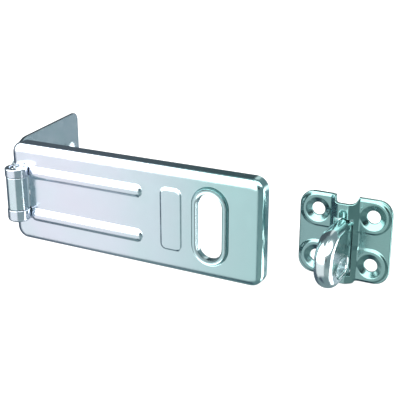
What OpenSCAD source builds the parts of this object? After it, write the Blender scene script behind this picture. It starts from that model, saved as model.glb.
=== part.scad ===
// Hasp and staple, pressed from zinc-plated steel sheet.
// The cover leaf stands upright along X with its face towards -Y and its hinge pin along Z.
// The mounting leaf swings on the pin. The staple plate stands beside the free end.
// All sizes are in millimetres.

/* [Cover leaf] */
// Length of the cover leaf along X
cover_len = 114.5; // [105:0.5:130]
// Height of the cover leaf along Z
cover_h = 42.2; // [40:0.2:46]
// Depth of the cover leaf's turned-down edges, measured from its face
tray_d = 6.1; // [5.6:0.1:8]
// Sheet thickness of the cover leaf
cover_t = 1.8; // [1.5:0.1:2.2]
// Corner radius of the cover leaf
cover_corner_r = 5; // [4:0.5:7]
// Radius that rolls the face into the turned-down edges
edge_roll_r = 2.4; // [2:0.1:3]
// Length of each of the two stiffening ribs
rib_len = 55; // [40:1:60]
// Width of each stiffening rib at the face
rib_w = 5.4; // [4:0.2:7]
// How far the stiffening ribs stand proud of the face
rib_rise = 1.2; // [0.8:0.1:1.4]
// Distance between the centre lines of the two stiffening ribs
rib_pitch = 18.4; // [17:0.2:21]

/* [Slot] */
// Distance from the slot's centre line to the free end of the cover leaf
slot_inset = 21.2; // [19:0.2:24]
// Width of the slot along X
slot_w = 10.4; // [9:0.2:12]
// Height of the slot along Z
slot_h = 26; // [24:0.5:28]
// Width of the rolled rim around the slot
rim_w = 2.3; // [1.6:0.1:2.6]
// How far the rolled rim stands proud of the face
rim_rise = 1.2; // [0.8:0.1:1.4]

/* [Blank panel] */
// Width of the plain raised panel beside the slot
panel_w = 9.4; // [6:0.2:10]
// Height of the plain raised panel
panel_h = 25; // [18:0.5:28]
// Gap between the plain panel and the slot's rim
panel_gap = 4.4; // [2:0.2:6]
// How far the plain panel stands proud of the face
panel_rise = 0.5; // [0.3:0.1:0.8]

/* [Hinge] */
// Diameter of the hinge pin
pin_d = 6; // [5:0.1:6]
// Running clearance between the pin and the mounting leaf's knuckle, on the radius
pin_clearance = 0.05; // [0.02:0.01:0.1]
// Height of the whole barrel along the pin
barrel_h = 23; // [20:0.5:26]
// Height of the barrel's lower knuckle
low_knuckle_h = 5.2; // [3.4:0.1:6]
// Height of the barrel's upper knuckle
top_knuckle_h = 3.8; // [3.4:0.1:6]
// Gap between neighbouring knuckles
knuckle_gap = 0.25; // [0.2:0.05:0.4]
// How far the pin's axis stands in front of the cover leaf's face
axis_out = 2.4; // [2.2:0.1:3]
// Angle between the two leaves as drawn, where 0 is closed
open_angle = 100; // [0:1:180]

/* [Mounting leaf] */
// Length of the mounting leaf from the pin's axis
leaf_len = 72.5; // [68:0.5:72.5]
// Height of the mounting leaf along the pin
leaf_h = 36.4; // [30:0.2:36.4]
// Sheet thickness of the mounting leaf
leaf_t = 1.5; // [1.2:0.1:1.6]

/* [Staple] */
// Width of the staple plate along X
plate_w = 35; // [33:0.5:36]
// Height of the staple plate along Z
plate_h = 32.4; // [31:0.2:34]
// Sheet thickness of the staple plate
plate_t = 1.5; // [1.2:0.1:1.6]
// Spacing of the staple's screw holes along X
hole_pitch_x = 21; // [20:0.5:22]
// Spacing of the staple's screw holes along Z
hole_pitch_z = 18.8; // [18:0.2:20]
// Height of the raised pads around the staple's screw holes
pad_rise = 0.4; // [0.2:0.1:0.5]
// How far the central rib stands proud of the pads
spine_rise = 2.3; // [2:0.1:2.6]
// Width of the central rib
spine_w = 9.8; // [9.4:0.2:11]
// Gap along X between the cover leaf's free end and the staple plate as drawn
staple_gap = 7.1; // [6:0.1:12]
// Distance along Y from the cover leaf's face to the front of the staple's rib as drawn
staple_set_back = 16.2; // [15:0.2:30]
// Height of the bottom of the staple's rib above the bottom of the cover leaf as drawn
staple_lift = 1.5; // [0:0.1:6]

/* [Locking eye] */
// Thickness of the locking eye along X
eye_t = 6.8; // [5:0.1:7]
// Radius of the locking eye's round nose
eye_r = 10.9; // [9.6:0.1:11]
// Distance from the centre of the nose to the front of the staple's rib
eye_reach = 10.6; // [9:0.2:12]
// Height of the centre of the nose above the bottom of the rib
eye_z = 14.2; // [13.5:0.1:14.4]
// Length along Y of the shackle opening
shackle_len = 11.5; // [10:0.5:12]
// Height of the shackle opening
shackle_h = 5.8; // [5:0.1:6]
// Height of the relief notch in the rib above the eye
relief_h = 3.4; // [2:0.1:3.6]

/* [Screw holes] */
// Diameter of the screw holes
screw_d = 5; // [4:0.1:5.2]
// Diameter of the staple's dished countersinks at the face
sink_d = 9.6; // [7:0.2:10]
// Diameter of the mounting leaf's wider dished countersinks at the face
leaf_sink_d = 13.6; // [8:0.2:14]
// Depth of the dished countersinks
sink_h = 0.9; // [0.5:0.1:0.9]

/* [Hidden] */
$fn = 64;

// A hair's overlap, and how far a cutting tool reaches past the metal
eps = 0.01;
overcut = 1;

zinc_cover = [0.80, 0.84, 0.88];
zinc_leaf = [0.52, 0.60, 0.63];
zinc_pin = [0.66, 0.72, 0.76];
zinc_plate = [0.52, 0.68, 0.66];
steel_eye = [0.62, 0.72, 0.70];

// Heights shared by both leaves
mid_z = cover_h / 2;
barrel_z0 = mid_z - barrel_h / 2;
barrel_z1 = mid_z + barrel_h / 2;
seam_low = barrel_z0 + low_knuckle_h;
seam_top = barrel_z1 - top_knuckle_h;

// Hinge, seen along the pin
pin_r = pin_d / 2;
end_knuckle_r = pin_r + cover_t;
mid_bore_r = pin_r + pin_clearance;
mid_knuckle_r = mid_bore_r + leaf_t;
barrel_overhang = 0.1;
barrel_gap = 0.4;
notch_gap = 0.45;
axis_x = end_knuckle_r - barrel_overhang;
axis_y = -axis_out;
// The notch clears the middle knuckle where that passes the face
notch_x = axis_x + sqrt(mid_knuckle_r * mid_knuckle_r - axis_out * axis_out) + notch_gap;
knuckle_round = 1.2;
pin_chamfer = 0.6;
pin_dimple_r = 1.2;
pin_dimple_tip_r = 0.3;

// The mounting leaf's faces, measured from the pin's axis when the hasp is closed
leaf_back = tray_d + axis_out;
leaf_front = leaf_back - leaf_t;
tab_slope = 0.42;
tab_end = (leaf_front - mid_bore_r) / tab_slope;
tab_kink = 0.6;
leaf_root = tab_end + 2;
leaf_root_r = 12;
leaf_far_r = 4;
leaf_hole_far = leaf_len - 11.5;
leaf_hole_mid = 43;
leaf_hole_near = 26;
leaf_hole_half = 8;

// Slot and its surround
slot_x = cover_len - slot_inset;
slot_r = slot_w / 2;
rim_tube_r = rim_w / 2;
rim_mid_r = slot_r + rim_tube_r;

// Ribs, which start beside the barrel, and the blank panel between them and the slot
rib_x0 = notch_x;
rib_x1 = rib_x0 + rib_len;
panel_x = slot_x - slot_r - rim_w - panel_gap - panel_w / 2;
panel_r = 2.5;

// Staple
staple_x = cover_len + staple_gap + plate_w / 2;
spine_front = staple_set_back;
pad_front = spine_front + spine_rise;
plate_front = pad_front + pad_rise;
plate_back = plate_front + plate_t;
plate_z0 = 1.2;
plate_mid_z = plate_z0 + plate_h / 2;
plate_corner_r = 5.5;
spine_step = 2.4;
spine_top = plate_z0 + plate_h - spine_step;
spine_round = 2;
pad_r = 6.4;
cavity_w = eye_t + 0.2;
cavity_front = spine_front + plate_t;
eye_slot_gap = 0.2;
eye_slot_z0 = eye_z - eye_r;
eye_slot_z1 = eye_z + eye_r + eye_slot_gap;
relief_w = 3;
relief_z1 = eye_slot_z1 + relief_h;
eye_edge_r = 3.2;
eye_y = spine_front - eye_reach;
shackle_back = 3.3;
shackle_drop = 4.2;
shackle_y = eye_y + shackle_back;
shackle_z = eye_z - shackle_drop;
shackle_r = shackle_h / 2;
shackle_chamfer = 0.7;
root_margin = 0.8;
root_z0 = eye_slot_z0 - root_margin;
root_z1 = relief_z1 + root_margin;

// The origin is the middle of the whole object's outline, on the surface that it stands on
far_x = axis_x - leaf_back * sin(open_angle) + leaf_len * cos(open_angle);
far_y = axis_y + leaf_front * cos(open_angle) + leaf_len * sin(open_angle);
origin_x = (min(far_x, 0) + staple_x + plate_w / 2) / 2;
origin_y = (axis_y - end_knuckle_r + max(far_y, plate_back)) / 2;

module place() {
    translate([-origin_x, -origin_y, 0]) children();
}

// Lays a flat outline, drawn in X and Z, on the plane y = y0 and thickens it towards +Y
module upright(y0, depth) {
    translate([0, y0 + depth, 0]) rotate([90, 0, 0]) linear_extrude(depth) children();
}

// Flat outlines with round corners
module round_rect(w, h, r) {
    square([w - 2 * r, h], center = true);
    square([w, h - 2 * r], center = true);
    for (sx = [-1, 1], sz = [-1, 1])
        translate([sx * (w / 2 - r), sz * (h / 2 - r)]) circle(r);
}

module obround(w, h) {
    square([w, h - w], center = true);
    for (s = [-1, 1]) translate([0, s * (h - w) / 2]) circle(w / 2);
}

// A screw hole along +Y whose countersink, mouth_d wide, opens at y = y0
module screw_hole(y0, depth, mouth_d) {
    translate([0, y0, 0]) rotate([-90, 0, 0]) {
        translate([0, 0, -overcut]) cylinder(r = screw_d / 2, h = depth + 2 * overcut);
        translate([0, 0, -eps]) cylinder(r1 = mouth_d / 2, r2 = screw_d / 2, h = sink_h);
        translate([0, 0, -overcut]) cylinder(r = mouth_d / 2, h = overcut);
    }
}

// The cover leaf's solid envelope, with its front edges and corners rolled
module cover_block() {
    half_l = cover_len / 2;
    half_h = cover_h / 2;
    corner_ring = cover_corner_r - edge_roll_r;
    translate([half_l, 0, half_h]) {
        upright(edge_roll_r, tray_d - edge_roll_r) round_rect(cover_len, cover_h, cover_corner_r);
        upright(0, edge_roll_r)
            round_rect(cover_len - 2 * edge_roll_r, cover_h - 2 * edge_roll_r, corner_ring);
        for (s = [-1, 1]) {
            translate([0, edge_roll_r, s * (half_h - edge_roll_r)]) rotate([0, 90, 0])
                cylinder(r = edge_roll_r, h = cover_len - 2 * cover_corner_r, center = true);
            translate([s * (half_l - edge_roll_r), edge_roll_r, 0])
                cylinder(r = edge_roll_r, h = cover_h - 2 * cover_corner_r, center = true);
        }
        for (sx = [-1, 1], sz = [-1, 1])
            translate([sx * (half_l - cover_corner_r), edge_roll_r, sz * (half_h - cover_corner_r)])
                rotate([90, 0, 0])
                    rotate_extrude() intersection() {
                        translate([corner_ring, 0]) circle(edge_roll_r);
                        square([cover_corner_r, 2 * edge_roll_r]);
                    }
    }
}

// A long rounded ridge along X whose crown stands rise above the face and is w wide at the face
module ridge(x0, x1, z, w, rise, shrink) {
    full_r = ((w / 2) * (w / 2) + rise * rise) / (2 * rise);
    sink = full_r - rise;
    r = full_r - shrink;
    end = w / 2;
    translate([0, sink, z]) {
        translate([x0 + end, 0, 0]) rotate([0, 90, 0]) cylinder(r = r, h = x1 - x0 - 2 * end);
        for (x = [x0 + end, x1 - end]) translate([x, 0, 0]) sphere(r);
    }
}

// The rolled rim: half rings above and below, joined by two straight rods
module slot_rim() {
    rod_h = slot_h - slot_w;
    crown_y = rim_tube_r - rim_rise;
    translate([slot_x, crown_y, mid_z]) {
        for (s = [-1, 1]) {
            translate([0, 0, s * rod_h / 2]) rotate([90, 0, 0]) rotate([0, 0, s > 0 ? 0 : 180])
                rotate_extrude(angle = 180) translate([rim_mid_r, 0]) circle(rim_tube_r);
            translate([s * rim_mid_r, 0, 0]) cylinder(r = rim_tube_r, h = rod_h, center = true);
        }
    }
    translate([slot_x, 0, mid_z]) upright(crown_y, cover_t - crown_y)
        obround(slot_w + 2 * rim_w, slot_h + 2 * rim_w);
}

// One end knuckle of the barrel, with its outer end rounded over
module end_knuckle(z0, h, round_low) {
    flat_h = h - knuckle_round;
    flat_z = round_low ? z0 + knuckle_round : z0;
    round_z = round_low ? z0 + knuckle_round : z0 + flat_h;
    translate([axis_x, axis_y, 0]) {
        translate([0, 0, flat_z]) cylinder(r = end_knuckle_r, h = flat_h);
        translate([0, 0, round_z]) rotate_extrude()
            translate([end_knuckle_r - knuckle_round, 0]) circle(knuckle_round);
        translate([0, 0, z0]) cylinder(r = end_knuckle_r - knuckle_round, h = h);
    }
}

module cover_leaf() {
    color(zinc_cover) place() difference() {
        union() {
            difference() {
                cover_block();
                // Hollow back
                translate([cover_len / 2, 0, mid_z]) upright(cover_t, tray_d)
                    round_rect(cover_len - 2 * cover_t, cover_h - 2 * cover_t, cover_corner_r - cover_t);
                // The left edge is open for the whole height of the barrel
                translate([-overcut, -overcut, barrel_z0 - barrel_gap])
                    cube([axis_x + overcut, tray_d + 2 * overcut, barrel_h + 2 * barrel_gap]);
                // Notch that the mounting leaf's tab swings through
                translate([-overcut, -overcut, seam_low])
                    cube([notch_x + overcut, tray_d + 2 * overcut, seam_top - seam_low]);
            }
            for (s = [-1, 1]) ridge(rib_x0, rib_x1, mid_z + s * rib_pitch / 2, rib_w, rib_rise, 0);
            slot_rim();
            translate([panel_x, 0, mid_z]) upright(-panel_rise, cover_t)
                round_rect(panel_w, panel_h, panel_r);
            end_knuckle(barrel_z0, low_knuckle_h - knuckle_gap / 2, true);
            end_knuckle(seam_top + knuckle_gap / 2, top_knuckle_h - knuckle_gap / 2, false);
        }
        // Hollow backs of the ribs
        for (s = [-1, 1])
            intersection() {
                ridge(rib_x0, rib_x1, mid_z + s * rib_pitch / 2, rib_w, rib_rise, cover_t);
                cube([cover_len, cover_t + rib_w, cover_h]);
            }
        // What the ribs' round backs would leave inside the tray
        for (s = [-1, 1])
            translate([rib_x0 - overcut, cover_t, mid_z + s * rib_pitch / 2 - rib_w])
                cube([rib_len + 2 * overcut, tray_d, 2 * rib_w]);
        // Slot
        translate([slot_x, 0, mid_z]) upright(-rim_rise - overcut, tray_d + rim_rise + overcut)
            obround(slot_w, slot_h);
        // Pin bore
        translate([axis_x, axis_y, barrel_z0 - overcut])
            cylinder(r = pin_r, h = barrel_h + 2 * overcut);
    }
}

module hinge_pin() {
    color(zinc_pin) place() translate([axis_x, axis_y, 0]) difference() {
        union() {
            translate([0, 0, barrel_z0 + pin_chamfer]) cylinder(r = pin_r, h = barrel_h - 2 * pin_chamfer);
            translate([0, 0, barrel_z0])
                cylinder(r1 = pin_r - pin_chamfer, r2 = pin_r, h = pin_chamfer);
            translate([0, 0, barrel_z1 - pin_chamfer])
                cylinder(r1 = pin_r, r2 = pin_r - pin_chamfer, h = pin_chamfer);
        }
        translate([0, 0, barrel_z1 - pin_dimple_r / 2])
            cylinder(r1 = pin_dimple_tip_r, r2 = pin_dimple_r, h = pin_dimple_r / 2 + eps);
    }
}

// Outline of the mounting leaf in X and Z, with its root tapered down to the tab
module leaf_outline() {
    half_h = leaf_h / 2;
    root_h = half_h - leaf_root_r;
    translate([leaf_root + leaf_root_r, -half_h])
        square([leaf_len - leaf_far_r - leaf_root - leaf_root_r, leaf_h]);
    translate([leaf_root, -root_h]) square([leaf_len - leaf_root, 2 * root_h]);
    translate([leaf_len - 2 * leaf_far_r, leaf_far_r - half_h])
        square([2 * leaf_far_r, leaf_h - 2 * leaf_far_r]);
    for (s = [-1, 1]) {
        translate([leaf_root + leaf_root_r, s * root_h]) circle(leaf_root_r);
        translate([leaf_len - leaf_far_r, s * (half_h - leaf_far_r)]) circle(leaf_far_r);
    }
}

// The tab between the knuckle and the leaf, which steps back past the cover leaf's sheet
module leaf_tab() {
    z0 = seam_low + knuckle_gap / 2;
    h = seam_top - seam_low - knuckle_gap;
    translate([0, 0, z0]) linear_extrude(h) polygon([
        [0, mid_bore_r], [tab_kink, mid_bore_r], [tab_end + tab_kink, leaf_front],
        [leaf_root + leaf_root_r, leaf_front], [leaf_root + leaf_root_r, leaf_back],
        [tab_end, leaf_back], [0, mid_knuckle_r]
    ]);
}

module mounting_leaf() {
    z0 = seam_low + knuckle_gap / 2;
    h = seam_top - seam_low - knuckle_gap;
    color(zinc_leaf) place() translate([axis_x, axis_y, 0]) rotate([0, 0, open_angle]) difference() {
        union() {
            translate([0, 0, z0]) cylinder(r = mid_knuckle_r, h = h);
            leaf_tab();
            translate([0, 0, mid_z]) upright(leaf_front, leaf_t) leaf_outline();
        }
        translate([0, 0, z0 - overcut]) cylinder(r = mid_bore_r, h = h + 2 * overcut);
        for (x = [leaf_hole_far, leaf_hole_mid])
            translate([x, 0, mid_z]) screw_hole(leaf_front, leaf_t, leaf_sink_d);
        for (s = [-1, 1])
            translate([leaf_hole_near, 0, mid_z + s * leaf_hole_half])
                screw_hole(leaf_front, leaf_t, leaf_sink_d);
    }
}

// The four places of the staple's screw holes
module at_staple_holes() {
    for (sx = [-1, 1], sz = [-1, 1])
        translate([sx * hole_pitch_x / 2, 0, plate_mid_z + sz * hole_pitch_z / 2]) children();
}

// Cross-section of the staple's rib, seen along Z
module spine_section() {
    translate([-spine_w / 2, spine_front + spine_round])
        square([spine_w, plate_back - spine_front - spine_round]);
    translate([-spine_w / 2 + spine_round, spine_front])
        square([spine_w - 2 * spine_round, spine_round]);
    for (s = [-1, 1])
        translate([s * (spine_w / 2 - spine_round), spine_front + spine_round]) circle(spine_round);
}

module staple_plate() {
    pad_w = hole_pitch_x / 2;
    color(zinc_plate) place() translate([staple_x, 0, staple_lift]) difference() {
        union() {
            translate([0, 0, plate_mid_z]) upright(plate_front, plate_t)
                round_rect(plate_w, plate_h, plate_corner_r);
            linear_extrude(spine_top) spine_section();
            at_staple_holes() rotate([90, 0, 0])
                translate([0, 0, -plate_front - plate_t / 2]) cylinder(r = pad_r, h = pad_rise + plate_t / 2);
            for (sx = [-1, 1], sz = [-1, 1])
                translate([sx * pad_w / 2, 0, plate_mid_z + sz * hole_pitch_z / 2])
                    upright(pad_front, plate_t) square([pad_w, 2 * pad_r], center = true);
        }
        at_staple_holes() screw_hole(pad_front, plate_t + pad_rise, sink_d);
        // Slot that the locking eye passes through, and the relief notch above it
        translate([-cavity_w / 2, spine_front - overcut, eye_slot_z0])
            cube([cavity_w, plate_t + 2 * overcut, eye_slot_z1 - eye_slot_z0]);
        translate([-relief_w / 2, spine_front - overcut, eye_slot_z1 - eps])
            cube([relief_w, plate_t + 2 * overcut, relief_h + eps]);
        // Hollow back of the rib, which holds the eye's root
        translate([-cavity_w / 2, cavity_front, root_z0])
            cube([cavity_w, plate_back - cavity_front + overcut, root_z1 - root_z0]);
    }
}

// Half of the locking eye's cross-section, from its middle line to its rounded edge
module eye_section() {
    half_t = eye_t / 2;
    translate([0, -half_t]) square([eye_r - eye_edge_r, eye_t]);
    translate([0, -half_t + eye_edge_r]) square([eye_r, eye_t - 2 * eye_edge_r]);
    for (s = [-1, 1]) translate([eye_r - eye_edge_r, s * (half_t - eye_edge_r)]) circle(eye_edge_r);
}

// The shackle opening, cut along X, and the chamfers at its two mouths
module shackle_cut(r, x0, x1, grow) {
    reach = (shackle_len - shackle_h) / 2;
    translate([x0, shackle_y, shackle_z]) rotate([0, 90, 0]) rotate([0, 0, 90]) {
        for (s = [-1, 1]) translate([s * reach, 0, 0]) cylinder(r1 = r, r2 = r + grow, h = x1 - x0);
    }
}

module locking_eye() {
    half_t = eye_t / 2;
    reach = (shackle_len - shackle_h) / 2;
    color(steel_eye) place() translate([staple_x, 0, staple_lift]) difference() {
        union() {
            translate([0, eye_y, eye_z]) rotate([0, 90, 0]) rotate([0, 0, 90])
                rotate_extrude() intersection() {
                    eye_section();
                    translate([0, -eye_t]) square([eye_r, 2 * eye_t]);
                }
            translate([0, eye_y, eye_z]) rotate([-90, 0, 0]) linear_extrude(cavity_front - eye_y)
                for (s = [-1, 1]) rotate([0, 0, s * 90]) eye_section();
            translate([-half_t, cavity_front, root_z0])
                cube([eye_t, plate_back - cavity_front, root_z1 - root_z0]);
        }
        translate([-half_t - overcut, shackle_y - reach, shackle_z - shackle_r])
            cube([eye_t + 2 * overcut, 2 * reach, shackle_h]);
        shackle_cut(shackle_r, -half_t - overcut, half_t + overcut, 0);
        shackle_cut(shackle_r, half_t - shackle_chamfer, half_t + eps, shackle_chamfer + eps);
        shackle_cut(shackle_r + shackle_chamfer + eps, -half_t - eps, -half_t + shackle_chamfer,
            -shackle_chamfer - eps);
    }
}

cover_leaf();
hinge_pin();
mounting_leaf();
staple_plate();
locking_eye();
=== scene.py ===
import math

import bpy
import numpy as np
from mathutils import Euler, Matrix, Vector, geometry, kdtree


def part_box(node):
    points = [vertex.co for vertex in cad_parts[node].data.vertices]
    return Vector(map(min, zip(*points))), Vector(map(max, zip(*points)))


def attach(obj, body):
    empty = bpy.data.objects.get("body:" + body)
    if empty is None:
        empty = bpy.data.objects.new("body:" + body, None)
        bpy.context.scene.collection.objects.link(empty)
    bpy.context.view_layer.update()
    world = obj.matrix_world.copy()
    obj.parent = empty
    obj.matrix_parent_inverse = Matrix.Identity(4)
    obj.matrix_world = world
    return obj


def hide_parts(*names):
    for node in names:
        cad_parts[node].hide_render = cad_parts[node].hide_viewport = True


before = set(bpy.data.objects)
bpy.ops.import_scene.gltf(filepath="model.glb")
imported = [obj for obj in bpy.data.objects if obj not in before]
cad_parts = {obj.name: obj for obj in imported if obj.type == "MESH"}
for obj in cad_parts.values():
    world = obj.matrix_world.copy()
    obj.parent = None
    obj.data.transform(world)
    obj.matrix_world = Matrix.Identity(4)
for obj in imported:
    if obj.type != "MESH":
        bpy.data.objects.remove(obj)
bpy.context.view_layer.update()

# ---------------------------------------------------------------- sizes, in millimetres
# Measured from the cover leaf's left end, its face and its lower edge
COVER_L, COVER_H, TRAY_D, COVER_T = 114.5, 42.2, 6.1, 1.8
CORNER_R, INNER_R = 5.0, 0.8
CROWN_R, CROWN_DEG, FOLD_R = 6.0, 32.0, 2.0
MID_Z = COVER_H / 2
AXIS = (4.7, -2.4)
BARREL_Z = (MID_Z - 11.5, MID_Z + 11.5)
SEAM_LOW, SEAM_TOP, SEAM_GAP = BARREL_Z[0] + 5.2, BARREL_Z[1] - 3.8, 0.125
PIN_R, END_R = 3.0, 4.8
MID_BORE_R, LEAF_T = 3.05, 1.5
NOTCH_X = 9.02
OPEN_LEFT = (BARREL_Z[0] - 0.4, BARREL_Z[1] + 0.4)
RIB_X, RIB_Z, RIB_W, RIB_RISE = (9.0, 64.0), (MID_Z - 9.2, MID_Z + 9.2), 5.2, 1.15
SLOT_X, SLOT_W, SLOT_H, RIM_W, RIM_RISE = 93.3, 10.4, 26.0, 2.3, 1.2
PANEL_X, PANEL_W, PANEL_H, PANEL_R, PANEL_RISE = 76.7, 9.4, 25.0, 2.5, 0.5
OPEN_ANGLE = 100.0
LEAF_L, LEAF_H, LEAF_FRONT = 72.5, 36.4, 7.0
LEAF_HOLES = [(61.0, 0.0), (43.0, 0.0), (26.0, 8.0), (26.0, -8.0)]
LEAF_SINK_R = 6.8
TAB_L, FLARE_X, FLARE_R, LEAF_CORNER = 9.0, 23.4, 12.0, 4.0
STAPLE_X, STAPLE_LIFT, PLATE_W, PLATE_Z, PLATE_CORNER = 139.1, 1.5, 35.0, (1.2, 33.6), 5.5
PLATE_FRONT, PLATE_BACK, SPINE_FRONT = 18.9, 20.4, 16.2
SPINE_Z, SPINE_W, TOP_NOTCH_W = (0.0, 31.2), 9.8, 6.8
HOLE_X, HOLE_Z, PAD_R, PAD_RISE = 10.5, (8.0, 26.8), 6.4, 0.45
SCREW_R, SINK_R, SINK_H = 2.5, 4.8, 1.1
EYE_HALF, EYE_R, EYE_Y, EYE_Z, EYE_EDGE = 3.4, 10.9, 5.6, 14.2, 2.6
EYE_SLOT, RELIEF_R, RELIEF_D, RELIEF_TOP = (3.3, 25.3), 1.5, 1.3, 28.7
ROOT_Z, ROOT_D = (2.5, 29.5), 1.2
SHACKLE_Y, SHACKLE_Z, SHACKLE_L, SHACKLE_H = 8.9, 10.0, 11.5, 5.8

low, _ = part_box("cover_leaf")
SHIFT = np.array([low[0] * 1000 - (AXIS[0] - END_R), low[1] * 1000 - (AXIS[1] - END_R), 0.0])


def place(points):
    """From millimetres beside the cover leaf to metres in the shared frame."""
    return (np.asarray(points, float) + SHIFT) / 1000


# ---------------------------------------------------------------- building smooth sheet metal
def smooth(t):
    t = np.clip(t, 0, 1)
    return t * t * (3 - 2 * t)


def soft_max(a, k):
    """a where it is well above 0 and 0 where it is well below, with a fillet between."""
    return (a + np.sqrt(a * a + k * k)) / 2


def inside(points, loops):
    """True for each point that lies inside an odd number of the loops."""
    odd = np.zeros(len(points), bool)
    x, y = points[:, 0], points[:, 1]
    for loop in loops:
        for (x0, y0), (x1, y1) in zip(loop, np.roll(loop, -1, axis=0)):
            if y0 == y1:
                continue
            hit = ((y0 > y) != (y1 > y)) & (x < (x1 - x0) * (y - y0) / (y1 - y0) + x0)
            odd ^= hit
    return odd


def lattice(loops, step, margin=0.6):
    """Points in even triangles inside the loops, kept a little away from them."""
    every = np.concatenate(loops)
    lo, hi = every.min(0), every.max(0)
    rows = []
    for i, v in enumerate(np.arange(lo[1], hi[1], step * 0.866)):
        u = np.arange(lo[0] + (i % 2) * step / 2, hi[0], step)
        rows.append(np.column_stack([u, np.full(len(u), v)]))
    points = np.concatenate(rows)
    points = points[inside(points, loops)]
    tree = kdtree.KDTree(len(every))
    for i, p in enumerate(every):
        tree.insert((p[0], p[1], 0), i)
    tree.balance()
    near = np.array([tree.find((p[0], p[1], 0))[2] for p in points])
    return points[near > step * margin]


def resample(path, step, closed=True):
    """The same outline with points at most step apart."""
    path = np.asarray(path, float)
    ends = np.roll(path, -1, axis=0) if closed else path[1:]
    out = []
    for a, b in zip(path, ends):
        n = max(1, math.ceil(np.linalg.norm(b - a) / step - 1e-6))
        out += [a + (b - a) * i / n for i in range(n)]
    if not closed:
        out.append(path[-1])
    return np.array(out)


def arc(cx, cy, r, start, end, n):
    a = np.radians(np.linspace(start, end, n + 1))
    return np.column_stack([cx + r * np.cos(a), cy + r * np.sin(a)])


def cores(rect, r, step, n=14):
    """An outline with round corners, as centres and outward directions, so that
    centre + distance * direction gives every parallel outline. It runs clockwise
    from the left side's middle."""
    x0, x1, z0, z1 = rect
    c, d = [], []
    corners = [(x0 + r, z1 - r, 180, 90), (x1 - r, z1 - r, 90, 0),
               (x1 - r, z0 + r, 0, -90), (x0 + r, z0 + r, -90, -180)]
    mid = np.array([x0 + r, (z0 + z1) / 2])
    last = mid
    for cx, cz, a0, a1 in corners + [(mid[0], mid[1], None, None)]:
        here = np.array([cx, cz])
        gap = np.linalg.norm(here - last)
        way = (here - last) / gap if gap > 1e-9 else np.array([0.0, 1.0])
        k = max(1, round(gap / step))
        for i in range(1 if len(c) else 0, k):
            c.append(last + way * gap * i / k)
            d.append((-way[1], way[0]))
        if a0 is None:
            break
        for a in np.radians(np.linspace(a0, a1, n + 1)):
            c.append(here)
            d.append((math.cos(a), math.sin(a)))
        last = here
    return np.array(c), np.array(d)


class Skin:
    """Points with their true normals, and faces, that become one smooth mesh."""

    def __init__(self):
        self.points, self.normals, self.faces = [], [], []

    def row(self, points, normals):
        first = len(self.points)
        self.points += [tuple(p) for p in points]
        self.normals += [tuple(n) for n in np.broadcast_to(normals, (len(points), 3))]
        return np.arange(first, first + len(points))

    def again(self, row, normals):
        """The same points with another normal, for a sharp edge."""
        return self.row([self.points[i] for i in row], normals)

    def join(self, a, b, closed=True):
        n = len(a)
        for i in range(n if closed else n - 1):
            j = (i + 1) % n
            self.faces.append((a[i], a[j], b[j], b[i]))

    def chain(self, rows, closed=True):
        for a, b in zip(rows, rows[1:]):
            self.join(a, b, closed)

    def fill(self, rows, flat, extra=None, lift=None):
        """Triangles between closed rows. flat gives each row's points in the plane,
        and lift takes the extra points in the plane to points and normals in space."""
        index = np.concatenate(rows)
        points = np.concatenate(flat)
        if extra is not None and len(extra):
            index = np.concatenate([index, self.row(*lift(extra))])
            points = np.concatenate([points, extra])
        edges, first = [], 0
        for loop in flat:
            n = len(loop)
            edges += [(first + i, first + (i + 1) % n) for i in range(n)]
            first += n
        out, _, tris, origin, _, _ = geometry.delaunay_2d_cdt([Vector(p) for p in points], edges, [], 0, 1e-7)
        out = np.array([tuple(p) for p in out])
        tris = np.array(tris)
        tris = tris[inside(out[tris].mean(1), flat)]
        for tri in tris:
            self.faces.append(tuple(int(index[origin[i][0]]) for i in tri))

    def build(self, name, body, material, nodes=()):
        points, normals = place(self.points), np.array(self.normals, float)
        normals /= np.linalg.norm(normals, axis=1)[:, None]
        faces = []
        for f in self.faces:
            p = points[list(f)]
            turn = np.cross(p[1] - p[0], p[2] - p[0])
            if len(f) == 4:
                turn = turn + np.cross(p[2] - p[0], p[3] - p[0])
            faces.append(f if turn @ normals[list(f)].sum(0) >= 0 else f[::-1])
        mesh = bpy.data.meshes.new(name)
        mesh.from_pydata(points.tolist(), [], [tuple(int(i) for i in f) for f in faces])
        mesh.validate()
        mesh.shade_smooth()
        mesh.normals_split_custom_set_from_vertices(normals.tolist())
        piece = bpy.data.objects.new(name, mesh)
        bpy.context.collection.objects.link(piece)
        mesh.materials.append(material)
        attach(piece, body)
        if nodes:
            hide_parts(*nodes)
        return piece


def up3(flat, y):
    """Points in X and Z on the plane y."""
    flat = np.asarray(flat)
    return np.column_stack([flat[:, 0], np.broadcast_to(y, len(flat)), flat[:, 1]])


def out3(d, side, front):
    """Normals that lean from the outline's direction, side, to the front, -Y."""
    return np.column_stack([d[:, 0] * side, np.full(len(d), -front), d[:, 1] * side])


def field(height):
    """A lift for a face towards -Y whose place along Y is height(x, z)."""

    def lift(flat):
        e = 0.01
        x, z = flat[:, 0], flat[:, 1]
        dx = (height(x + e, z) - height(x - e, z)) / (2 * e)
        dz = (height(x, z + e) - height(x, z - e)) / (2 * e)
        return up3(flat, height(x, z)), np.column_stack([dx, -np.ones(len(flat)), dz])

    return lift


def quarter(n=5):
    return np.radians(np.linspace(0, 90, n + 1))


# ---------------------------------------------------------------- materials
def node(tree, kind, place=(0, 0), **values):
    n = tree.nodes.new(kind)
    n.location = place
    for key, value in values.items():
        setattr(n, key, value)
    return n


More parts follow.
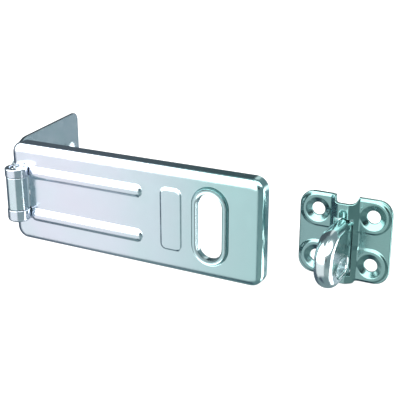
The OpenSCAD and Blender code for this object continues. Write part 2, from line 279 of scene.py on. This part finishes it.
def zinc(name, near, far, start, end):
    """Bright zinc plate: colour that drifts from near to far between two places along X, with a
    faint film of pink and green, finely uneven gloss and the shallow waviness of pressed sheet.
    Any near or far colour darker than the pin's bare zinc is painted shade."""
    material = bpy.data.materials.new(name)
    material.use_nodes = True
    tree = material.node_tree
    tree.nodes.clear()
    link = tree.links.new
    out = node(tree, "ShaderNodeOutputMaterial", (900, 0))
    metal = node(tree, "ShaderNodeBsdfPrincipled", (600, 0))
    metal.inputs["Metallic"].default_value = 1.0
    link(metal.outputs["BSDF"], out.inputs["Surface"])
    where = node(tree, "ShaderNodeTexCoord", (-900, 0))

    split = node(tree, "ShaderNodeSeparateXYZ", (-700, 200))
    link(where.outputs["Object"], split.inputs[0])
    # Painted shade: the near and far colours are mixed along X
    along = node(tree, "ShaderNodeMapRange", (-500, 200), interpolation_type="SMOOTHSTEP")
    along.inputs["From Min"].default_value = start
    along.inputs["From Max"].default_value = end
    link(split.outputs["X"], along.inputs["Value"])
    base = node(tree, "ShaderNodeMix", (-250, 200), data_type="RGBA")
    base.inputs["A"].default_value = (*near, 1)
    base.inputs["B"].default_value = (*far, 1)
    link(along.outputs[0], base.inputs["Factor"])

    cloud = node(tree, "ShaderNodeTexNoise", (-700, -50))
    cloud.inputs["Scale"].default_value = 38
    cloud.inputs["Detail"].default_value = 4
    link(where.outputs["Object"], cloud.inputs["Vector"])
    film = node(tree, "ShaderNodeValToRGB", (-500, -50))
    ramp = film.color_ramp
    ramp.elements[0].position, ramp.elements[0].color = 0.30, (0.74, 0.93, 0.90, 1)
    ramp.elements[1].position, ramp.elements[1].color = 0.72, (0.97, 0.86, 0.95, 1)
    middle = ramp.elements.new(0.5)
    middle.color = (0.92, 0.93, 1.0, 1)
    link(cloud.outputs["Fac"], film.inputs["Fac"])
    colour = node(tree, "ShaderNodeMix", (0, 150), data_type="RGBA", blend_type="MULTIPLY")
    colour.inputs["Factor"].default_value = 0.35
    link(base.outputs["Result"], colour.inputs["A"])
    link(film.outputs["Color"], colour.inputs["B"])
    link(colour.outputs["Result"], metal.inputs["Base Color"])

    grain = node(tree, "ShaderNodeTexNoise", (-700, -350))
    grain.inputs["Scale"].default_value = 420
    grain.inputs["Detail"].default_value = 6
    link(where.outputs["Object"], grain.inputs["Vector"])
    gloss = node(tree, "ShaderNodeMapRange", (-450, -350))
    gloss.inputs["From Min"].default_value, gloss.inputs["From Max"].default_value = 0.3, 0.7
    gloss.inputs["To Min"].default_value, gloss.inputs["To Max"].default_value = 0.13, 0.24
    link(grain.outputs["Fac"], gloss.inputs["Value"])
    link(gloss.outputs[0], metal.inputs["Roughness"])

    wave = node(tree, "ShaderNodeTexNoise", (-700, -600))
    wave.inputs["Scale"].default_value = 60
    wave.inputs["Detail"].default_value = 2
    link(where.outputs["Object"], wave.inputs["Vector"])
    dents = node(tree, "ShaderNodeBump", (-200, -600))
    dents.inputs["Strength"].default_value = 0.25
    dents.inputs["Distance"].default_value = 0.0004
    link(wave.outputs["Fac"], dents.inputs["Height"])
    specks = node(tree, "ShaderNodeBump", (100, -450))
    specks.inputs["Strength"].default_value = 0.15
    specks.inputs["Distance"].default_value = 0.00003
    link(grain.outputs["Fac"], specks.inputs["Height"])
    link(dents.outputs["Normal"], specks.inputs["Normal"])
    link(specks.outputs["Normal"], metal.inputs["Normal"])
    return material


X0 = SHIFT[0] / 1000
# Painted shade: the cover darkens smoothly from pale blue-grey at its left to dark teal at its right end
cover_zinc_painted_shade = zinc("zinc_cover", (0.77, 0.81, 0.88), (0.42, 0.65, 0.63), X0 + 0.03, X0 + 0.118)
# Painted shade: the mounting leaf is dark grey-teal over its far part and lighter towards its knuckle
leaf_zinc_painted_shade = zinc("zinc_leaf", (0.42, 0.50, 0.52), (0.70, 0.81, 0.84), X0 - 0.008, X0 + 0.001)
pin_zinc = zinc("zinc_pin", (0.66, 0.72, 0.76), (0.66, 0.72, 0.76), X0, X0 + 0.1)
# Painted shade: the staple plate is dark teal throughout, standing in for the darker teal surround that its
# faces mirror
plate_zinc_painted_shade = zinc("zinc_plate", (0.25, 0.41, 0.40), (0.22, 0.40, 0.37), X0 + 0.12, X0 + 0.16)
eye_zinc = zinc("plated_eye", (0.70, 0.82, 0.81), (0.68, 0.80, 0.79), X0 + 0.12, X0 + 0.16)


# ---------------------------------------------------------------- cover leaf
def capsule(x, z, x0, x1, zc):
    """Distance from the level line between x0 and x1 at height zc."""
    return np.hypot(x - np.clip(x, x0, x1), z - zc)


def cover_face(x, z):
    y = np.zeros(np.shape(x))
    for zc in RIB_Z:
        t = capsule(x, z, RIB_X[0] + RIB_W / 2, RIB_X[1] - RIB_W / 2, zc) / (RIB_W / 2)
        y = y - RIB_RISE * soft_max(1 - t * t, 0.10)
    # Distance outside the panel's outline, which has round corners
    past_x = np.abs(x - PANEL_X) - PANEL_W / 2 + PANEL_R
    past_z = np.abs(z - MID_Z) - PANEL_H / 2 + PANEL_R
    edge = np.hypot(np.maximum(past_x, 0), np.maximum(past_z, 0))
    edge = edge + np.minimum(np.maximum(past_x, past_z), 0) - PANEL_R
    return y - PANEL_RISE * smooth((0.35 - edge) / 1.3)


def cover_back(x, z):
    """The back, hollow behind the ribs; it looks the other way, so it is flipped when lifted."""
    y = np.full(np.shape(x), COVER_T)
    for zc in RIB_Z:
        t = capsule(x, z, RIB_X[0] + RIB_W / 2, RIB_X[1] - RIB_W / 2, zc) / (RIB_W / 2 - 0.7)
        y = y - 0.9 * RIB_RISE * soft_max(1 - t * t, 0.12)
    return y


def flipped(lift):
    def other(flat):
        points, normals = lift(flat)
        return points, -normals

    return other


def curl(skin, centre, r_in, r_out, start, end, z0, z1, round_low=0.3, round_top=0.3, step=6, turn=0.0):
    """A strip of sheet rolled about a pin, with rounded edges. Angles run from +X towards +Y."""
    section, lean = [], []

    def corner(cr, cz, r, a0, a1):
        for a in np.radians(np.linspace(a0, a1, 5)):
            section.append((cr + r * math.cos(a), cz + r * math.sin(a)))
            lean.append((math.cos(a), math.sin(a)))

    inner = 0.2
    corner(r_out - round_low, z0 + round_low, round_low, -90, 0)
    corner(r_out - round_top, z1 - round_top, round_top, 0, 90)
    corner(r_in + inner, z1 - inner, inner, 90, 180)
    corner(r_in + inner, z0 + inner, inner, 180, 270)
    section, lean = np.array(section), np.array(lean)
    rows = []
    for a in np.radians(np.linspace(start, end, round(abs(end - start) / step) + 1) + turn):
        c, s = math.cos(a), math.sin(a)
        rows.append(skin.row(
            np.column_stack([centre[0] + section[:, 0] * c, centre[1] + section[:, 0] * s, section[:, 1]]),
            np.column_stack([lean[:, 0] * c, lean[:, 0] * s, lean[:, 1]])))
    skin.chain(rows)
    for row, a, way in ((rows[0], start, -1), (rows[-1], end, 1)):
        a = math.radians(a + turn)
        cap = skin.again(row, np.array([-math.sin(a) * way, math.cos(a) * way, 0]))
        skin.fill([cap], [section])


def roll_profile():
    """The edge's section, from the face: a gentle crown, then a tighter fold. Gives tilt, inset and depth."""
    k = math.radians(CROWN_DEG)
    wide = CROWN_R * math.sin(k) + FOLD_R * (1 - math.sin(k))
    out = [(a, wide - CROWN_R * math.sin(a), CROWN_R * (1 - math.cos(a))) for a in np.linspace(0, k, 6)]
    for a in np.linspace(k, math.pi / 2, 8)[1:]:
        depth = CROWN_R * (1 - math.cos(k)) + FOLD_R * (math.cos(k) - math.cos(a))
        out.append((a, FOLD_R * (1 - math.sin(a)), depth))
    return out


ROLL = roll_profile()
ROLL_W = ROLL[0][1]


def make_cover():
    skin = Skin()
    c, d = cores((0, COVER_L, 0, COVER_H), CORNER_R, 0.8)
    # The outline starts at the left side's middle and is open beside the barrel
    upper = np.array([[CORNER_R, z] for z in np.linspace(OPEN_LEFT[1], COVER_H - CORNER_R, 5)[:-1]])
    lower = np.array([[CORNER_R, z] for z in np.linspace(CORNER_R, OPEN_LEFT[0], 5)[1:]])
    keep = ~((d[:, 0] < -0.9999) & (c[:, 1] > CORNER_R + 1e-6) & (c[:, 1] < COVER_H - CORNER_R - 1e-6))
    c, d = c[keep], d[keep]
    left = np.array([[-1.0, 0.0]])
    c = np.concatenate([upper, c, lower])
    d = np.concatenate([left.repeat(len(upper), 0), d, left.repeat(len(lower), 0)])

    def ring(rho, y, side, front):
        return skin.row(up3(c + d * rho, y), out3(d, side, front))

    e = 0.35
    rows, profile = [], []
    for a, inset, y in ROLL:
        rows.append(ring(CORNER_R - inset, y, math.sin(a), math.cos(a)))
        profile.append((inset, y))
    for b in quarter(4):
        c_b, s_b = math.cos(b), math.sin(b)
        rows.append(ring(CORNER_R - e + e * c_b, TRAY_D - e + e * s_b, c_b, -s_b))
        profile.append((e - e * c_b, TRAY_D - e + e * s_b))
    for b in quarter(4)[::-1]:
        c_b, s_b = math.cos(b), math.sin(b)
        rows.append(ring(CORNER_R - COVER_T + e - e * c_b, TRAY_D - e + e * s_b, -c_b, -s_b))
        profile.append((COVER_T - e + e * c_b, TRAY_D - e + e * s_b))
    for a in quarter(5)[::-1]:
        rho = CORNER_R - COVER_T - INNER_R + INNER_R * math.sin(a)
        y = COVER_T + INNER_R - INNER_R * math.cos(a)
        rows.append(ring(rho, y, -math.sin(a), -math.cos(a)))
        profile.append((CORNER_R - rho, y))
    skin.chain(rows, closed=False)

    # The left edge, with the notch that the mounting leaf's tab swings through
    r = 0.8
    closing = np.concatenate([
        [[AXIS[0], OPEN_LEFT[0]], [AXIS[0], SEAM_LOW]],
        arc(NOTCH_X - r, SEAM_LOW + r, r, -90, 0, 5),
        arc(NOTCH_X - r, SEAM_TOP - r, r, 0, 90, 5),
        [[AXIS[0], SEAM_TOP], [AXIS[0], OPEN_LEFT[1]]],
    ])
    edge = resample(closing, 0.7, closed=False)
    front_edge = skin.row(up3(edge, 0.0), np.array([0, -1, 0]))
    back_edge = skin.row(up3(edge, COVER_T), np.array([0, 1, 0]))
    way = np.gradient(edge, axis=0)
    away = np.column_stack([-way[:, 1], np.zeros(len(way)), way[:, 0]])
    skin.join(skin.again(front_edge, away), skin.again(back_edge, away), closed=False)

    # The two cut ends of the turned-down edge, beside the barrel
    profile = np.array(profile)
    section = np.concatenate([[[AXIS[0], 0.0]], profile, [[AXIS[0], COVER_T]]])
    for z, facing in ((OPEN_LEFT[1], -1), (OPEN_LEFT[0], 1)):
        cap = skin.row(np.column_stack([section, np.full(len(section), z)]), np.array([0, 0, facing]))
        skin.fill([cap], [section])

    # Slot with its rolled rim
    rect = (SLOT_X - SLOT_W / 2, SLOT_X + SLOT_W / 2, MID_Z - SLOT_H / 2, MID_Z + SLOT_H / 2)
    s_c, s_d = cores(rect, SLOT_W / 2, 0.8, n=24)
    half, foot = RIM_W / 2, 0.55
    low_y = half - RIM_RISE
    k = math.radians(25)
    start = np.array([RIM_W + foot, 0.0])
    join = np.array([half + half * math.cos(k), low_y - half * math.sin(k)])
    bend = np.array([join[0] - join[1] * math.tan(k), 0.0])
    profile = [start * (1 - t) ** 2 + bend * 2 * t * (1 - t) + join * t * t for t in np.linspace(0, 1, 5)]
    profile += [(half + half * math.cos(a), low_y - half * math.sin(a))
                for a in np.linspace(k, math.pi, 13)[1:]]
    profile += [(0.0, 0.7), (0.0, COVER_T - 0.3)]
    profile += [(0.3 - 0.3 * math.cos(b), COVER_T - 0.3 + 0.3 * math.sin(b)) for b in quarter(3)[1:]]
    profile = np.array(profile)
    legs = np.diff(profile, axis=0)
    legs /= np.linalg.norm(legs, axis=1)[:, None]
    tangent = np.concatenate([[[-1, 0]], legs[:-1] + legs[1:], [[1, 0]]])
    rim = [skin.row(up3(s_c + s_d * (SLOT_W / 2 + p[0]), p[1]), out3(s_d, t[1], -t[0]))
           for p, t in zip(profile, tangent)]
    skin.chain(rim)

    front_row = np.concatenate([rows[0], front_edge])
    front_flat = np.concatenate([c + d * (CORNER_R - ROLL_W), edge])
    rim_foot = s_c + s_d * (SLOT_W / 2 + RIM_W + foot)
    loops = [front_flat, rim_foot]
    skin.fill([front_row, rim[0]], loops, lattice(loops, 0.6), field(cover_face))

    back_row = np.concatenate([rows[-1], back_edge])
    back_flat = np.concatenate([c + d * (CORNER_R - COVER_T - INNER_R), edge])
    loops = [back_flat, s_c + s_d * (SLOT_W / 2 + 0.3)]
    skin.fill([back_row, rim[-1]], loops, lattice(loops, 0.9), flipped(field(cover_back)))

    # End knuckles, rolled from the same sheet, and the short joggles that lead into them
    for z0, z1, low_r, top_r in ((BARREL_Z[0], SEAM_LOW - SEAM_GAP, 1.3, 0.3),
                                 (SEAM_TOP + SEAM_GAP, BARREL_Z[1], 0.3, 0.6)):
        curl(skin, AXIS, PIN_R, END_R, 90, 384, z0, z1, low_r, top_r)
        joggle(skin, z0, z1)
    return skin.build("cover_leaf_sheet", "cover", cover_zinc_painted_shade, ["cover_leaf"])


def joggle(skin, z0, z1):
    """The sheet between the face's left edge and where it starts to roll."""
    x0, x1 = AXIS[0], AXIS[0] + 3.2
    rise = AXIS[1] + PIN_R
    outline = np.array([(x0, rise), (x1, 0.0), (x1, COVER_T), (x0, rise + COVER_T)])
    ends = []
    for z, facing in ((z0 + 0.05, -1), (z1 - 0.05, 1)):
        ends.append(np.column_stack([outline, np.full(4, z)]))
        cap = skin.row(ends[-1], np.array([0, 0, facing]))
        skin.fill([cap], [outline])
    for i in range(4):
        j = (i + 1) % 4
        side = outline[j] - outline[i]
        away = np.array([side[1], -side[0], 0.0])
        a = skin.row([ends[0][i], ends[0][j]], away)
        b = skin.row([ends[1][i], ends[1][j]], away)
        skin.join(a, b, closed=False)


# ---------------------------------------------------------------- sheets with plain rounded edges
def dish(x, z, holes, mouth_r):
    """How deep the dished countersinks lie at each point: a cone with a soft lip."""
    depth = np.zeros(np.shape(x))
    lip = 0.12
    for hx, hz in holes:
        t = (mouth_r - np.hypot(x - hx, z - hz)) / (mouth_r - SCREW_R)
        depth = depth + SINK_H * np.minimum(soft_max(t, lip), 1)
    return depth


def edged_sheet(skin, outlines, front, back, edge_front, edge_back, step, back_step=1.2):
    """A sheet between two height fields. outlines are (points, outward directions), the outer one first;
    each gets a rounded edge on both sides."""
    tops, bottoms, top_flat, bottom_flat = [], [], [], []
    for points, d in outlines:
        rows = []
        y1 = back(points[:, 0], points[:, 1])
        inner = points - d * edge_front
        top_flat.append(inner)
        for a in quarter(4):
            flat = points - d * edge_front * (1 - math.sin(a))
            y = front(inner[:, 0], inner[:, 1]) + edge_front * (1 - math.cos(a))
            rows.append(skin.row(up3(flat, y), out3(d, math.sin(a), math.cos(a))))
        for a in quarter(4)[::-1]:
            flat = points - d * edge_back * (1 - math.sin(a))
            y = y1 - edge_back * (1 - math.cos(a))
            rows.append(skin.row(up3(flat, y), out3(d, math.sin(a), -math.cos(a))))
        bottom_flat.append(points - d * edge_back)
        skin.chain(rows)
        tops.append(rows[0])
        bottoms.append(rows[-1])
        lift = field(front)(inner)[1]
        for i, n in zip(rows[0], lift):
            skin.normals[i] = tuple(n)
    skin.fill(tops, top_flat, lattice(top_flat, step), field(front))
    skin.fill(bottoms, bottom_flat, lattice(bottom_flat, back_step), flipped(field(back)))


def hole(x, z, r, n=40):
    a = np.radians(np.arange(n) * 360 / n)
    d = np.column_stack([np.cos(a), np.sin(a)])
    return np.array([x, z]) + d * r, -d


def outward(path):
    """The outward direction at each point of a clockwise outline."""
    way = np.roll(path, -1, axis=0) - np.roll(path, 1, axis=0)
    way /= np.linalg.norm(way, axis=1)[:, None]
    return np.column_stack([-way[:, 1], way[:, 0]])


# ---------------------------------------------------------------- mounting leaf
def make_leaf():
    skin = Skin()
    half_tab = (SEAM_TOP - SEAM_LOW) / 2 - SEAM_GAP
    tab_z = (SEAM_TOP + SEAM_LOW) / 2 - MID_Z
    half = LEAF_H / 2
    bottom = np.array([[0.0, tab_z - half_tab], [TAB_L, tab_z - half_tab]])
    top = np.array([[TAB_L, tab_z + half_tab], [0.0, tab_z + half_tab]])
    flare_low = arc(FLARE_X, -half + FLARE_R, FLARE_R, 200, 270, 16)
    flare_top = arc(FLARE_X, half - FLARE_R, FLARE_R, 90, 160, 16)
    r = LEAF_CORNER
    far_low = arc(LEAF_L - r, -half + r, r, -90, 0, 10)
    far_top = arc(LEAF_L - r, half - r, r, 0, 90, 10)
    outline = np.concatenate([bottom, flare_low, far_low, far_top, flare_top, top])[::-1]
    outline = resample(outline, 0.9)

    def bend(x):
        return MID_BORE_R + (LEAF_FRONT - MID_BORE_R) * smooth((x - 0.2) / 10.2)

    def front(x, z):
        return bend(x) + dish(x, z, LEAF_HOLES, LEAF_SINK_R)

    def back(x, z):
        return bend(x) + LEAF_T

    outlines = [(outline, outward(outline))] + [hole(x, z, SCREW_R) for x, z in LEAF_HOLES]
    edged_sheet(skin, outlines, front, back, 0.25, 0.25, step=0.8)

    # From the leaf's own frame, where it is closed, to where it stands open
    turn = math.radians(OPEN_ANGLE)
    c, s = math.cos(turn), math.sin(turn)
    spin = np.array([[c, -s, 0], [s, c, 0], [0, 0, 1]])
    skin.points = [tuple(spin @ p + (AXIS[0], AXIS[1], MID_Z)) for p in np.array(skin.points)]
    skin.normals = [tuple(spin @ n) for n in np.array(skin.normals)]
    curl(skin, AXIS, MID_BORE_R, MID_BORE_R + LEAF_T, 90, 392,
         SEAM_LOW + SEAM_GAP, SEAM_TOP - SEAM_GAP, 0.25, 0.25, turn=OPEN_ANGLE)
    return skin.build("mounting_leaf_sheet", "leaf", leaf_zinc_painted_shade, ["mounting_leaf"])


# ---------------------------------------------------------------- staple
HOLES = [(sx * HOLE_X, z) for sx in (-1, 1) for z in HOLE_Z]


def plate_front(x, z):
    pads = np.zeros(np.shape(x))
    for zc in HOLE_Z:
        pads = np.maximum(pads, PAD_RISE * smooth((PAD_R + 0.6 - capsule(x, z, -HOLE_X, HOLE_X, zc)) / 1.5))
    spine = smooth((5.9 - np.abs(x)) / 4.4)
    relief = capsule(z, x, EYE_SLOT[1], RELIEF_TOP - RELIEF_R, 0.0)
    pocket = RELIEF_D * smooth((RELIEF_R + 0.3 - relief) / 1.5)
    rib = (PLATE_FRONT - SPINE_FRONT - pads) * spine
    return PLATE_FRONT - pads - rib + dish(x, z, HOLES, SINK_R) + pocket


def plate_back(x, z):
    """Flat, but hollow behind the rib."""
    return PLATE_BACK - (PLATE_FRONT - SPINE_FRONT) * smooth((4.6 - np.abs(x)) / 2.8)


def make_plate():
    skin = Skin()
    hw, (z0, z1), r = PLATE_W / 2, PLATE_Z, PLATE_CORNER
    s, n = SPINE_W / 2, TOP_NOTCH_W / 2
    outline = np.concatenate([
        arc(-hw + r, z1 - r, r, 180, 90, 14),
        [[-n - 0.6, z1], [-n - 0.2, z1 - 0.3], [-n, SPINE_Z[1] + 0.5]],
        arc(-n + 0.5, SPINE_Z[1] + 0.5, 0.5, 180, 270, 4),
        arc(n - 0.6, SPINE_Z[1] + 1.6, 1.6, 270, 330, 6), [[n + 1.5, z1]],
        arc(hw - r, z1 - r, r, 90, 0, 14), arc(hw - r, z0 + r, r, 0, -90, 14),
        [[s + 1.6, z0]],
        arc(s - 1.0, SPINE_Z[0] + 1.0, 1.0, 0, -90, 5),
        arc(-s + 1.0, SPINE_Z[0] + 1.0, 1.0, -90, -180, 5),
        [[-s - 1.0, z0]],
        arc(-hw + r, z0 + r, r, -90, -180, 14),
    ])
    outline = resample(outline, 0.7)
    slot_w = EYE_HALF + 0.1
    low, top = EYE_SLOT
    slot = resample(np.array([[-slot_w, low], [-slot_w, top], [slot_w, top], [slot_w, low]]), 0.7)
    outlines = [(outline, outward(outline)), (slot, -outward(slot))]
    outlines += [hole(x, z, SCREW_R) for x, z in HOLES]
    edged_sheet(skin, outlines, plate_front, plate_back, 0.35, 0.3, step=0.42)
    skin.points = [(p[0] + STAPLE_X, p[1], p[2] + STAPLE_LIFT) for p in skin.points]
    return skin.build("staple_plate_sheet", "staple", plate_zinc_painted_shade, ["staple_plate"])


def make_eye():
    skin = Skin()
    root = PLATE_BACK - 0.1
    top = [[y, EYE_Z] for y in np.arange(root, EYE_Y, -0.8)]
    nose = np.radians(np.linspace(90, 270, 49))
    c = np.array(top + [[EYE_Y, EYE_Z]] * len(nose) + top[::-1])
    d = np.array([[0.0, 1.0]] * len(top) + [[math.cos(a), math.sin(a)] for a in nose]
                 + [[0.0, -1.0]] * len(top))

    def at(flat, x):
        return np.column_stack([np.full(len(flat), x + STAPLE_X), flat])

    rows = []
    for side in (1, -1):
        for a in quarter(8) if side == 1 else quarter(8)[::-1]:
            x = side * EYE_HALF * math.cos(a)
            rho = EYE_R - EYE_EDGE + EYE_EDGE * math.sin(a)
            across = np.full(len(d), side * math.cos(a) / EYE_HALF)
            lean = np.column_stack([across, d * math.sin(a) / EYE_EDGE])
            rows.append(skin.row(at(c + d * rho, x), lean))
    skin.chain(rows, closed=False)
    ends = [r[0] for r in rows] + [r[-1] for r in rows[::-1]]
    end_flat = np.array([[skin.points[i][0], skin.points[i][2]] for i in ends])
    cap = skin.row(up3(end_flat, root), np.array([0, 1, 0]))
    skin.fill([cap], [end_flat])

    r, half = SHACKLE_H / 2, SHACKLE_L / 2
    rect = (SHACKLE_Y - half, SHACKLE_Y + half, SHACKLE_Z - r, SHACKLE_Z + r)
    k_c, k_d = cores(rect, r - 1e-3, 0.7, n=20)
    bevel = 0.8
    opening = []
    for side in (1, -1):
        for a in quarter(5) if side == 1 else quarter(5)[::-1]:
            x = side * (EYE_HALF - bevel + bevel * math.cos(a))
            lean = np.column_stack([np.full(len(k_d), side * math.cos(a)), -k_d * math.sin(a)])
            opening.append(skin.row(at(k_c + k_d * (r + bevel - bevel * math.sin(a)), x), lean))
    skin.chain(opening)
    outer = c + d * (EYE_R - EYE_EDGE)
    inner = k_c + k_d * (r + bevel)
    for side, row, hole_row in ((1, rows[0], opening[0]), (-1, rows[-1], opening[-1])):
        skin.fill([row, hole_row], [outer, inner], lattice([outer, inner], 1.2),
                  lambda flat, side=side: (at(flat, side * EYE_HALF), np.array([side, 0, 0])))
    # Root block, which fills the rib's hollow behind the slot
    left, right, front = STAPLE_X - EYE_HALF, STAPLE_X + EYE_HALF, root - ROOT_D
    block = np.array([[left, front], [right, front], [right, root], [left, root]])
    z0, z1 = ROOT_Z
    for z, facing in ((z0, -1), (z1, 1)):
        cap = skin.row(np.column_stack([block, np.full(4, z)]), np.array([0, 0, facing]))
        skin.fill([cap], [block])
    for i in range(4):
        pair = block[[i, (i + 1) % 4]]
        side = pair[1] - pair[0]
        away = np.array([side[1], -side[0], 0.0])
        a, b = (skin.row(np.column_stack([pair, np.full(2, z)]), away) for z in (z0, z1))
        skin.join(a, b, closed=False)
    skin.points = [(p[0], p[1], p[2] + STAPLE_LIFT) for p in skin.points]
    return skin.build("locking_eye_loop", "staple", eye_zinc, ["locking_eye"])


make_cover()
make_leaf()
make_plate()
make_eye()
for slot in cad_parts["hinge_pin"].material_slots:
    slot.link = "OBJECT"
    slot.material = pin_zinc

# ---------------------------------------------------------------- floor, light and camera
def stage_material(name, shade, glow):
    m = bpy.data.materials.new(name)
    m.use_nodes = True
    b = m.node_tree.nodes["Principled BSDF"]
    b.inputs["Base Color"].default_value = (shade, shade, shade, 1)
    b.inputs["Roughness"].default_value = 0.9
    b.inputs["Emission Color"].default_value = (1, 1, 1, 1)
    b.inputs["Emission Strength"].default_value = glow
    return m


bpy.ops.mesh.primitive_plane_add(size=8, location=(0, 0, 0))
floor = bpy.context.object
floor.name = "floor"
floor.data.materials.append(stage_material("floor_white", 0.25, 0.93))
bpy.ops.mesh.primitive_uv_sphere_add(segments=48, ring_count=24, radius=3.6, location=(0, 0, -0.02))
dome = bpy.context.object
dome.name = "backdrop"
dome.data.materials.append(stage_material("backdrop_white", 0.8, 0.9))
for o in (floor, dome):
    o.visible_glossy = False
dome.visible_shadow = False
dome.visible_diffuse = False

world = bpy.data.worlds.new("studio")
bpy.context.scene.world = world
world.use_nodes = True
tree = world.node_tree
tree.nodes.clear()
link = tree.links.new
wout = node(tree, "ShaderNodeOutputWorld")
glow = node(tree, "ShaderNodeBackground")
link(glow.outputs[0], wout.inputs[0])
way = node(tree, "ShaderNodeTexCoord")
split = node(tree, "ShaderNodeSeparateXYZ")
link(way.outputs["Generated"], split.inputs[0])
turn = node(tree, "ShaderNodeMath", operation="ARCTAN2")
back = node(tree, "ShaderNodeMath", operation="MULTIPLY")
back.inputs[1].default_value = -1
link(split.outputs["Y"], back.inputs[0])
link(split.outputs["X"], turn.inputs[0])
link(back.outputs[0], turn.inputs[1])
height = node(tree, "ShaderNodeMath", operation="ARCSINE")
link(split.outputs["Z"], height.inputs[0])


def window(source, a, b, c, d):
    """1 between b and c degrees, and 0 before a and after d."""
    rise = node(tree, "ShaderNodeMapRange", interpolation_type="SMOOTHSTEP")
    fall = node(tree, "ShaderNodeMapRange", interpolation_type="SMOOTHSTEP")
    for n, (lo, hi), (t0, t1) in ((rise, (a, b), (0, 1)), (fall, (c, d), (1, 0))):
        n.inputs["From Min"].default_value = math.radians(lo)
        n.inputs["From Max"].default_value = math.radians(hi)
        n.inputs["To Min"].default_value = t0
        n.inputs["To Max"].default_value = t1
        link(source, n.inputs["Value"])
    both = node(tree, "ShaderNodeMath", operation="MULTIPLY")
    link(rise.outputs[0], both.inputs[0])
    link(fall.outputs[0], both.inputs[1])
    return both.outputs[0]


def patch(below, colour, masks):
    """Lays a colour over the studio where all the masks are 1."""
    mask = masks[0]
    for m in masks[1:]:
        both = node(tree, "ShaderNodeMath", operation="MULTIPLY")
        link(mask, both.inputs[0])
        link(m, both.inputs[1])
        mask = both.outputs[0]
    mix = node(tree, "ShaderNodeMix", data_type="RGBA")
    link(mask, mix.inputs["Factor"])
    if isinstance(below, tuple):
        mix.inputs["A"].default_value = (*below, 1)
    else:
        link(below, mix.inputs["A"])
    mix.inputs["B"].default_value = (*colour, 1)
    return mix.outputs["Result"]


az, el = turn.outputs[0], height.outputs[0]
# Colour, then azimuth and elevation, each as where the patch fades in and where it fades out. Azimuth
# is measured from -Y, and later patches lie over earlier ones.
sky = (0.24, 0.32, 0.34)
for colour, across, up in (
        ((0.97, 0.98, 1.0), (-76, -60, 12, 20), (-62, -46, 5, 20)),
        ((0.09, 0.12, 0.16), (-75, -60, -22, -17), (-91, -90, -62, -50)),
        ((0.10, 0.13, 0.17), (-150, -135, -78, -62), (-60, -50, 0, 8)),
        ((0.42, 0.50, 0.50), (20, 30, 80, 92), (-60, -40, -21.5, -19.5)),
        ((5.0, 5.0, 5.0), (86, 96, 146, 154), (-60, -40, 0, 10)),
        ((0.50, 0.60, 0.66), (158, 160, 181, 182), (-34, -28, 0, 10)),
        ((0.50, 0.60, 0.66), (150, 154, 181, 182), (-19, -17.5, 0, 10)),
        ((0.14, 0.21, 0.26), (150, 156, 158, 160), (-60, -50, -19, -17.5)),
        ((1.0, 1.0, 1.0), (-181, -180, -166, -160), (2, 8, 60, 72)),
        ((0.085, 0.11, 0.125), (-164, -159, -98, -84), (2, 8, 60, 72)),
        ((0.03, 0.045, 0.05), (8, 14, 28, 36), (0, 5, 20, 27)),
        ((3.2, 3.2, 3.2), (-4, 4, 90, 100), (24, 30, 66, 76)),
        ((4.0, 4.0, 4.0), (-80, -66, 8, 14), (-9, 3, 50, 59)),
        ((2.0, 2.0, 2.0), (-22, -18, 10, 20), (50, 56, 90, 91)),
):
    sky = patch(sky, colour, [window(az, *across), window(el, *up)])
link(sky, glow.inputs["Color"])
glow.inputs["Strength"].default_value = 1.0


def softbox(name, place, aim, size, power):
    light = bpy.data.lights.new(name, "AREA")
    light.shape = "RECTANGLE"
    light.size, light.size_y = size
    light.energy = power
    lamp = bpy.data.objects.new(name, light)
    bpy.context.collection.objects.link(lamp)
    lamp.location = place
    lamp.rotation_euler = (Vector(aim) - Vector(place)).to_track_quat("-Z", "Y").to_euler()
    lamp.visible_glossy = False
    return lamp


softbox("key", (-0.5, -0.7, 1.1), (0, 0, 0), (0.9, 0.9), 14)
softbox("fill", (0.8, -0.5, 0.9), (0, 0, 0), (0.9, 0.9), 6)

camera = bpy.data.cameras.new("camera")
camera.lens = 75.6
camera.sensor_width = 36
camera.clip_start = 0.01
eye = bpy.data.objects.new("camera", camera)
bpy.context.collection.objects.link(eye)
eye.location = place([[227.4, -259.7, 133.1]])[0]
eye.rotation_euler = Euler((math.radians(90 - 19.12), 0, math.radians(28.01)))
bpy.context.scene.camera = eye
bpy.context.scene.view_settings.view_transform = "Standard"
